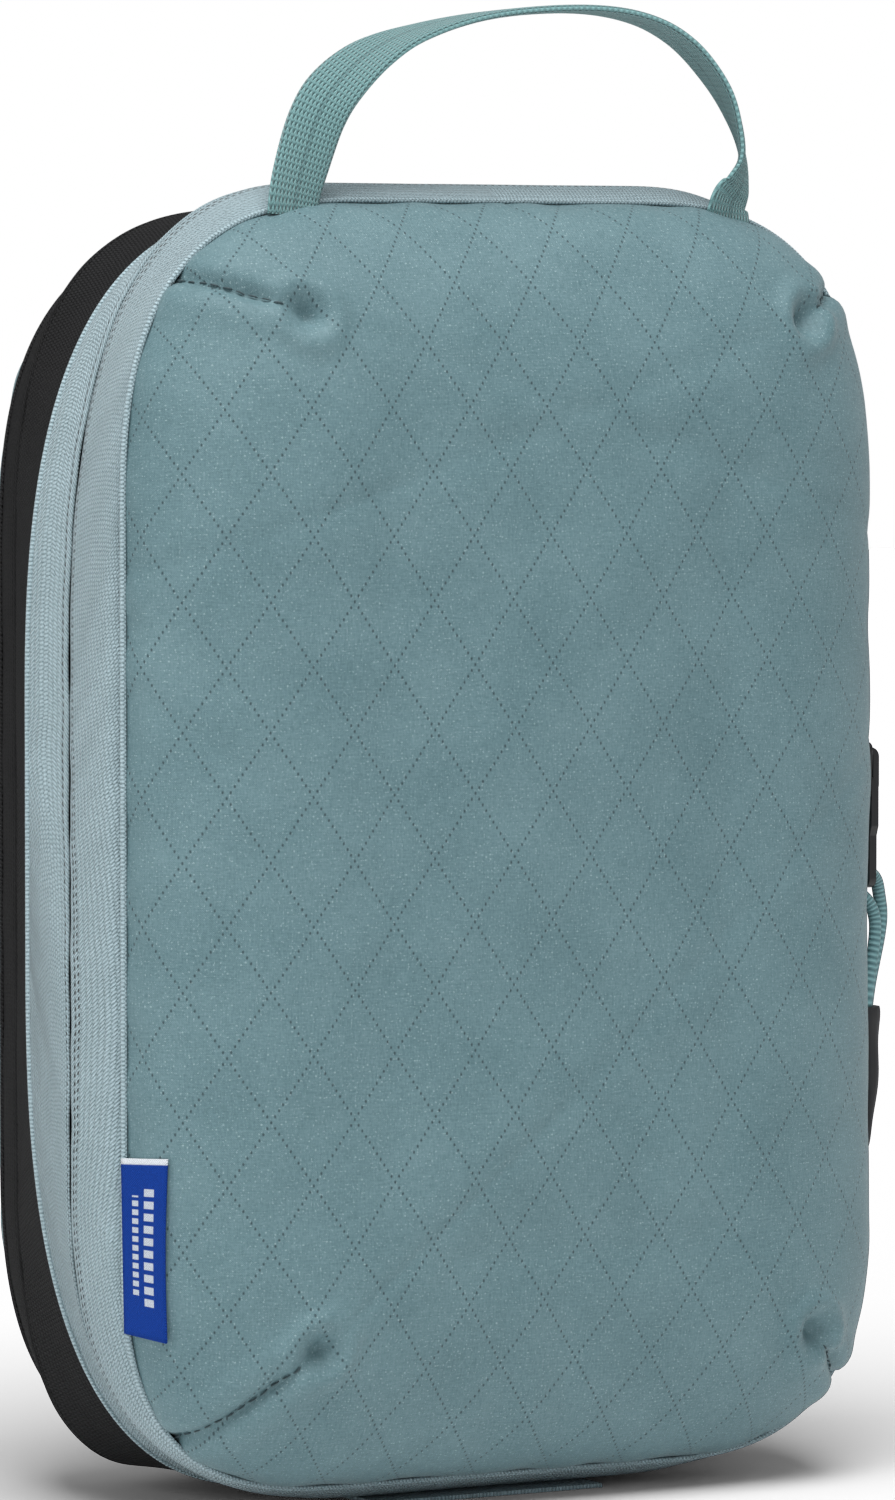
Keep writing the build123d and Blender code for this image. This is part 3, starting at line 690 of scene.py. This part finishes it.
def dart_lines(rows):
    """The four darts' seams as points and normals on the finished panel."""
    points = rows[: len(rows) - 8].reshape(-1, 3)
    out = normals(rows)[: len(rows) - 8].reshape(-1, 3)
    lines = []
    for start, end, _ in DARTS:
        line = []
        normal = []
        for part in np.linspace(0.02, 1.0, 16):
            x = start[0] + (end[0] - start[0]) * part
            z = start[1] + (end[1] - start[1]) * part
            near = np.argsort(np.hypot(points[:, 0] - x, points[:, 2] - z))[:4]
            up = out[near].mean(axis=0)
            line.append(points[near].mean(axis=0) + up * 0.12)
            normal.append(up)
        lines.append((np.array(line), np.array(normal), False))
    return lines


def cover_pieces():
    name = "front_panel_cloth"
    rows = panel_cloth(name, "front_panel", "front_cover", FRONT_SEAM_Y, FRONT_CROWN, -1, True, 1)
    stitches("dart_stitches", "front_cover", dart_lines(rows), 2.5, 1.9, 0.42)
    profile = [
        (FRONT_SEAM_Y - 0.7, 0.35),
        (FRONT_SEAM_Y, 0.5),
        (-2.2, 0.15),
        (-0.9, 0.1),
        (-ZIP_EDGE, -0.25),
    ]
    nodes = ["main_zip_tape_front"]
    band_cloth("sky_tape_front", nodes, "front_cover", profile, MAT_SKY_FRONT, 0.8, 11, True)
    braid("front_seam_braid", "front_cover", FRONT_SEAM_Y - 0.5, 1.0, 1.7, MAT_SKY_EDGE)


def band_pieces():
    profile = [
        (ZIP_EDGE, -0.25),
        (0.9, 0.1),
        (2.2, 0.15),
        (MID_SEAM_Y - 0.4, 0.5),
        (MID_SEAM_Y + 0.5, 0.35),
    ]
    nodes = ["main_zip_tape_rear"]
    band_cloth("sky_tape_rear", nodes, "middle_band", profile, MAT_SKY_REAR, 0.12, 17, False)
    braid("mid_seam_braid", "middle_band", MID_SEAM_Y + 0.2, 0.9, 1.6, MAT_SKY_EDGE)
    far = COMP_ZIP_Y - ZIP_EDGE
    profile = [
        (MID_SEAM_Y + 0.3, 0.0),
        (MID_SEAM_Y + 6, 0.2),
        (far - 4.0, 0.1),
        (far - 0.6, 0.1),
        (far, -0.25),
    ]
    nodes = ["comp_zip_tape_front"]
    name = "black_band_front"
    band_cloth(name, nodes, "middle_band", profile, MAT_BLACK_FRONT, -0.5, 23, True, 5)


def back_pieces():
    near = COMP_ZIP_Y + ZIP_EDGE
    profile = [(near, -0.25), (near + 0.6, 0.1), (near + 3, 0.1), (BACK_SEAM_Y + 0.6, 0.3)]
    nodes = ["comp_zip_tape_rear"]
    name = "black_band_rear"
    band_cloth(name, nodes, "back_shell", profile, MAT_BLACK_REAR, 0.4, 29, False, 4)
    braid("back_seam_braid", "back_shell", BACK_SEAM_Y + 0.2, 0.9, 1.6, MAT_BLACK_REAR)
    panel_cloth("back_panel_cloth", "back_panel", "back_shell", BACK_SEAM_Y, BACK_CROWN, 1, False, 5)


# ---------------------------------------------------------------- handle
HANDLE_Y = -14.3
HANDLE_FOOT = 257.5
HANDLE_HEIGHT = 37.8
HANDLE_SUNK = 3.4           # the webbing goes this far down into the seam
WEBBING_WIDTH = 11.0
WEBBING_WALL = 1.5
HANDLE_ROUTE = [
    (-47.9, 0.0, 0),
    (-46.3, 0.16, 8),
    (-42.8, 0.41, 25),
    (-38.3, 0.58, 42),
    (-30.5, 0.745, 62),
    (-20.5, 0.86, 80),
    (-5.0, 0.955, 90),
    (15.5, 1.0, 90),
    (30.0, 0.96, 90),
    (40.5, 0.835, 88),
    (48.6, 0.62, 82),
    (53.0, 0.40, 68),
    (54.6, 0.225, 55),
    (53.5, 0.085, 35),
    (51.6, 0.0, 19),
]


def smooth_line(keys, steps):
    """A Catmull-Rom line through rows of numbers."""
    keys = np.array(keys, float)
    ends = np.concatenate([[2 * keys[0] - keys[1]], keys, [2 * keys[-1] - keys[-2]]])
    out = []
    for a, b, c, d in zip(ends, ends[1:], ends[2:], ends[3:]):
        for t in np.linspace(0, 1, steps, endpoint=False):
            curve = (2 * a - 5 * b + 4 * c - d) * t**2 + (3 * b - a - 3 * c + d) * t**3
            out.append(0.5 * (2 * b + (c - a) * t + curve))
    out.append(keys[-1])
    return np.array(out)


def handle_piece():
    """The webbing loop, flat at its feet and turned on its side over the top."""
    keys = [(x, HANDLE_FOOT + share * HANDLE_HEIGHT, turn) for x, share, turn in HANDLE_ROUTE]
    first, last = keys[0], keys[-1]
    left_end = (first[0] - 0.3, first[1] - HANDLE_SUNK, 0)
    right_end = (last[0] - 0.5, last[1] - HANDLE_SUNK, 8)
    keys = [left_end] + keys + [right_end]
    line = smooth_line(keys, 10)
    points = np.stack([line[:, 0], np.full(len(line), HANDLE_Y), line[:, 1]], axis=1)
    tangent = np.gradient(points, axis=0)
    tangent /= np.linalg.norm(tangent, axis=1, keepdims=True)
    reach = np.concatenate([[0], np.cumsum(np.linalg.norm(np.diff(points, axis=0), axis=1))])
    section = []
    half, wall = WEBBING_WIDTH / 2, WEBBING_WALL / 2
    for u in np.linspace(-1, 1, 23):
        section.append((u * half, wall * (1 - abs(u) ** 10 * 0.6), u * half))
    section += [(u, -v, w) for u, v, w in reversed(section)]
    rows = []
    uv = []
    for offset, thick, side in section:
        turn = np.radians(line[:, 2])[:, None]
        out = np.stack([-tangent[:, 2], np.zeros(len(line)), tangent[:, 0]], axis=1)
        wide = out * np.cos(turn) + np.array([0, 1.0, 0]) * np.sin(turn)
        normal = np.cross(tangent, wide)
        rows.append(points + wide * offset + normal * thick)
        uv.append(np.stack([reach, np.full(len(line), side)], axis=1))
    rows = np.stack(rows, axis=1)
    uv = np.stack(uv, axis=1)
    uv = np.concatenate([uv, uv[:, :1]], axis=1)
    obj = grid_mesh("handle_strap", rows, uv, MAT_WEBBING)
    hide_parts("handle_webbing")
    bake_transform(obj)
    return obj


# ---------------------------------------------------------------- label
def label_piece():
    """A folded woven tag from the left seam, lying back a little off the front panel."""
    low = Vector((-85.3, -12.9))
    far = Vector((-80.4, -22.5))
    columns = 14
    rises = 36
    base = 38.4
    verts = []
    uvs = []
    for j in range(rises + 1):
        up = j / rises
        for i in range(columns + 1):
            t = i / columns
            place = low.lerp(far, t)
            lean = 0.9 * t * (1 - up) + 0.5 * math.sin(math.pi * up) * t
            slide = 0.8 * (1 - up)
            x = place.x - lean + slide * 0.8
            z = base + LABEL_HEIGHT * up - 1.6 * t * (1 - up) + 0.4 * t
            verts.append((x * MM, (place.y - 0.3 * math.sin(math.pi * t)) * MM, z * MM))
            uvs.append((LABEL_WIDTH * t, LABEL_HEIGHT * up))
    faces = []
    for j in range(rises):
        for i in range(columns):
            a = j * (columns + 1) + i
            faces.append((a, a + 1, a + columns + 2, a + columns + 1))
    mesh = bpy.data.meshes.new("side_tag")
    mesh.from_pydata(verts, [], faces)
    layer = mesh.uv_layers.new(name="cloth")
    for loop in mesh.loops:
        layer.data[loop.index].uv = uvs[loop.vertex_index]
    mesh.shade_smooth()
    mesh.materials.append(MAT_LABEL)
    obj = bpy.data.objects.new("side_tag", mesh)
    bpy.context.collection.objects.link(obj)
    thicken(obj, 0.6, 0)
    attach(obj, "front_cover")
    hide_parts("side_label")
    return obj


# ---------------------------------------------------------------- cords
PULL_DROP = 18.9            # from a pull's pivot down to its hole
# The cord's route from the grip up through the tab's hole and back,
# as outward, sideways and up from the hole's centre.
CORD_ROUTE = [
    (-1.35, 2.2, -29.4),
    (-1.0, 2.2, -24.6),
    (-0.1, 2.15, -19.4),
    (0.9, 2.05, -14.4),
    (1.4, 1.8, -9.8),
    (0.3, 1.4, -6.2),
    (-1.9, 0.7, -4.1),
    (-2.6, 0.15, -1.9),
    (-1.2, 0.0, 0.05),
    (1.2, 0.0, 0.05),
    (2.8, -0.1, -1.5),
    (3.6, -0.4, -4.6),
    (4.4, -0.6, -8.8),
    (3.7, -0.6, -13.6),
    (2.3, -0.45, -18.8),
    (0.9, -0.2, -24.2),
    (0.1, 0.0, -29.4),
]
CORD_DIAMETER = 2.5


def cord_piece(name, node, body, pivot, way):
    """A pull's cord, from its grip through the tab's hole and back."""
    hole = (pivot[0], pivot[1], pivot[2] - PULL_DROP)
    points = []
    for out, side, up in CORD_ROUTE:
        points.append(((hole[0] + out) * MM, (hole[1] + way * side) * MM, (hole[2] + up) * MM))
    curve = bpy.data.curves.new(name, "CURVE")
    curve.dimensions = "3D"
    curve.resolution_u = 16
    curve.bevel_depth = CORD_DIAMETER / 2 * MM
    curve.bevel_resolution = 6
    curve.use_fill_caps = True
    spline = curve.splines.new("NURBS")
    spline.points.add(len(points) - 1)
    for point, place in zip(spline.points, points):
        point.co = (*place, 1.0)
    spline.order_u = 3
    spline.use_endpoint_u = True
    curve.materials.append(MAT_CORD)
    obj = bpy.data.objects.new(name, curve)
    bpy.context.collection.objects.link(obj)
    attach(obj, body)
    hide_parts(node)
    return obj


# ---------------------------------------------------------------- hinge and gusset cloth
def hinge_cloth():
    """The strip under the base that hinges the cover: one cloth across the fold."""
    verts = []
    uvs = []
    front_part = np.linspace(-8.0, -1.6, 9)
    fold = np.linspace(-1.2, 1.2, 9)
    rear_part = np.linspace(1.6, 9.7, 10)
    across_y = np.concatenate([front_part, fold, rear_part])
    along_x = np.linspace(-26, 26, 40)
    for y in across_y:
        for x in along_x:
            verts.append((x * MM, y * MM, 0.42 * MM))
            uvs.append((x, y))
    count = len(along_x)
    faces = []
    for j in range(len(across_y) - 1):
        for i in range(count - 1):
            a = j * count + i
            faces.append((a, a + count, a + count + 1, a + 1))
    mesh = bpy.data.meshes.new("hinge_cloth")
    mesh.from_pydata(verts, [], faces)
    layer = mesh.uv_layers.new(name="cloth")
    for loop in mesh.loops:
        layer.data[loop.index].uv = uvs[loop.vertex_index]
    mesh.materials.append(MAT_SKY_EDGE)
    obj = bpy.data.objects.new("hinge_cloth", mesh)
    bpy.context.collection.objects.link(obj)
    thicken(obj, 0.8, 0)
    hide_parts("hinge_strip_front", "hinge_strip_rear")
    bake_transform(obj)
    return obj


def gusset_cloth():
    """The folded expansion gusset: one cloth from band to back shell."""
    half = [(-7.0, 1.7), (-6.5, 7.5), (-4.2, 11.5), (-1.8, 15.0), (-0.6, 17.6)]
    profile = [(COMP_ZIP_Y + away, inset) for away, inset in half]
    profile += [(COMP_ZIP_Y, 18.3)] + [(COMP_ZIP_Y - away, inset) for away, inset in reversed(half)]
    rows = np.stack([outline(y, inset) for y, inset in profile])
    loop, total = around(rows)
    flat = across(rows)
    uv = np.stack([loop, flat], axis=2)
    uv = np.concatenate([uv, np.stack([total, flat[:, :1]], axis=2)], axis=1)
    obj = grid_mesh("gusset_cloth", rows, uv, MAT_RIPSTOP)
    thicken(obj, 0.3, 0)
    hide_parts("gusset_front", "gusset_rear")
    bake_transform(obj)
    return obj


def dress(material, *nodes):
    """Gives CAD nodes a better material."""
    for node in nodes:
        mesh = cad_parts[node].data
        mesh.materials.clear()
        mesh.materials.append(material)


def hardware():
    for prefix in ("main", "comp"):
        dress(MAT_COIL, prefix + "_zip_coil_front", prefix + "_zip_coil_rear", prefix + "_zip_stops")
    dress(MAT_BINDING, "front_seam_binding", "mid_seam_binding", "back_seam_binding")
    dress(MAT_BINDING, "handle_anchors")
    for prefix in ("main", "comp"):
        dress(MAT_METAL, prefix + "_slider_body", prefix + "_slider_bridge", prefix + "_pull_tab")
        dress(MAT_GRIP, prefix + "_pull_grip")


# ---------------------------------------------------------------- camera, light and floor
CAMERA_PLACE = (-809.3, -1391.5, 230.6)
CAMERA_TURN = 30.02
CAMERA_PITCH = -2.92
LENS = 194.35
WORLD_LIGHT = 0.29
# Name, place, size and power of each lamp.
LAMPS = [
    ("key", (-0.25, -0.60, 1.75), 1.2, 36.0),
    ("side", (-1.5, -0.30, 0.45), 1.2, 6.5),
]


def backdrop(tree):
    """White behind the cube, with a dimmer white light from all round."""
    dim = tree.nodes["Background"]
    dim.inputs[0].default_value = (0.96, 0.98, 1.0, 1.0)
    dim.inputs[1].default_value = WORLD_LIGHT
    bright = tree.nodes.new("ShaderNodeBackground")
    bright.inputs[0].default_value = (1.0, 1.0, 1.0, 1.0)
    bright.inputs[1].default_value = 1.0
    ray = tree.nodes.new("ShaderNodeLightPath")
    mix = tree.nodes.new("ShaderNodeMixShader")
    tree.links.new(ray.outputs["Is Camera Ray"], mix.inputs[0])
    tree.links.new(dim.outputs[0], mix.inputs[1])
    tree.links.new(bright.outputs[0], mix.inputs[2])
    tree.links.new(mix.outputs[0], tree.nodes["World Output"].inputs[0])


def studio():
    camera = bpy.data.cameras.new("camera")
    camera.lens = LENS
    camera.sensor_width = 36.0
    camera.clip_end = 20.0
    eye = bpy.data.objects.new("camera", camera)
    bpy.context.collection.objects.link(eye)
    eye.location = Vector(CAMERA_PLACE) * MM
    eye.rotation_euler = (math.radians(90 + CAMERA_PITCH), 0, math.radians(-CAMERA_TURN))
    bpy.context.scene.camera = eye
    world = bpy.data.worlds.new("studio")
    world.use_nodes = True
    backdrop(world.node_tree)
    bpy.context.scene.world = world
    middle = Vector((0, 0.02, 0.14))
    for name, place, size, power in LAMPS:
        light = bpy.data.lights.new(name, "AREA")
        light.energy = power
        light.size = size
        lamp = bpy.data.objects.new(name, light)
        bpy.context.collection.objects.link(lamp)
        lamp.location = place
        lamp.rotation_euler = (middle - Vector(place)).to_track_quat("-Z", "Y").to_euler()
    floor_mesh = bpy.data.meshes.new("floor")
    reach = 6.0
    corners = [(-reach, -reach, 0), (reach, -reach, 0), (reach, reach, 0), (-reach, reach, 0)]
    floor_mesh.from_pydata(corners, [], [(0, 1, 2, 3)])
    floor_mesh.materials.append(Shade("floor").finish((0.92, 0.92, 0.92), rough=0.9, specular=0.0))
    floor = bpy.data.objects.new("floor", floor_mesh)
    bpy.context.collection.objects.link(floor)
    floor.is_shadow_catcher = True
    bpy.context.scene.view_settings.view_transform = "Standard"
    bpy.context.scene.view_settings.look = "None"


studio()
cord_piece("main_cord", "main_pull_cord", "main_pull", (93.687, 0.0, 139.9), -1)
cord_piece("comp_cord", "comp_pull_cord", "comp_pull", (88.107, COMP_ZIP_Y, 162.9), 1)
cover_pieces()
band_pieces()
back_pieces()
handle_piece()
label_piece()
hinge_cloth()
gusset_cloth()
hardware()
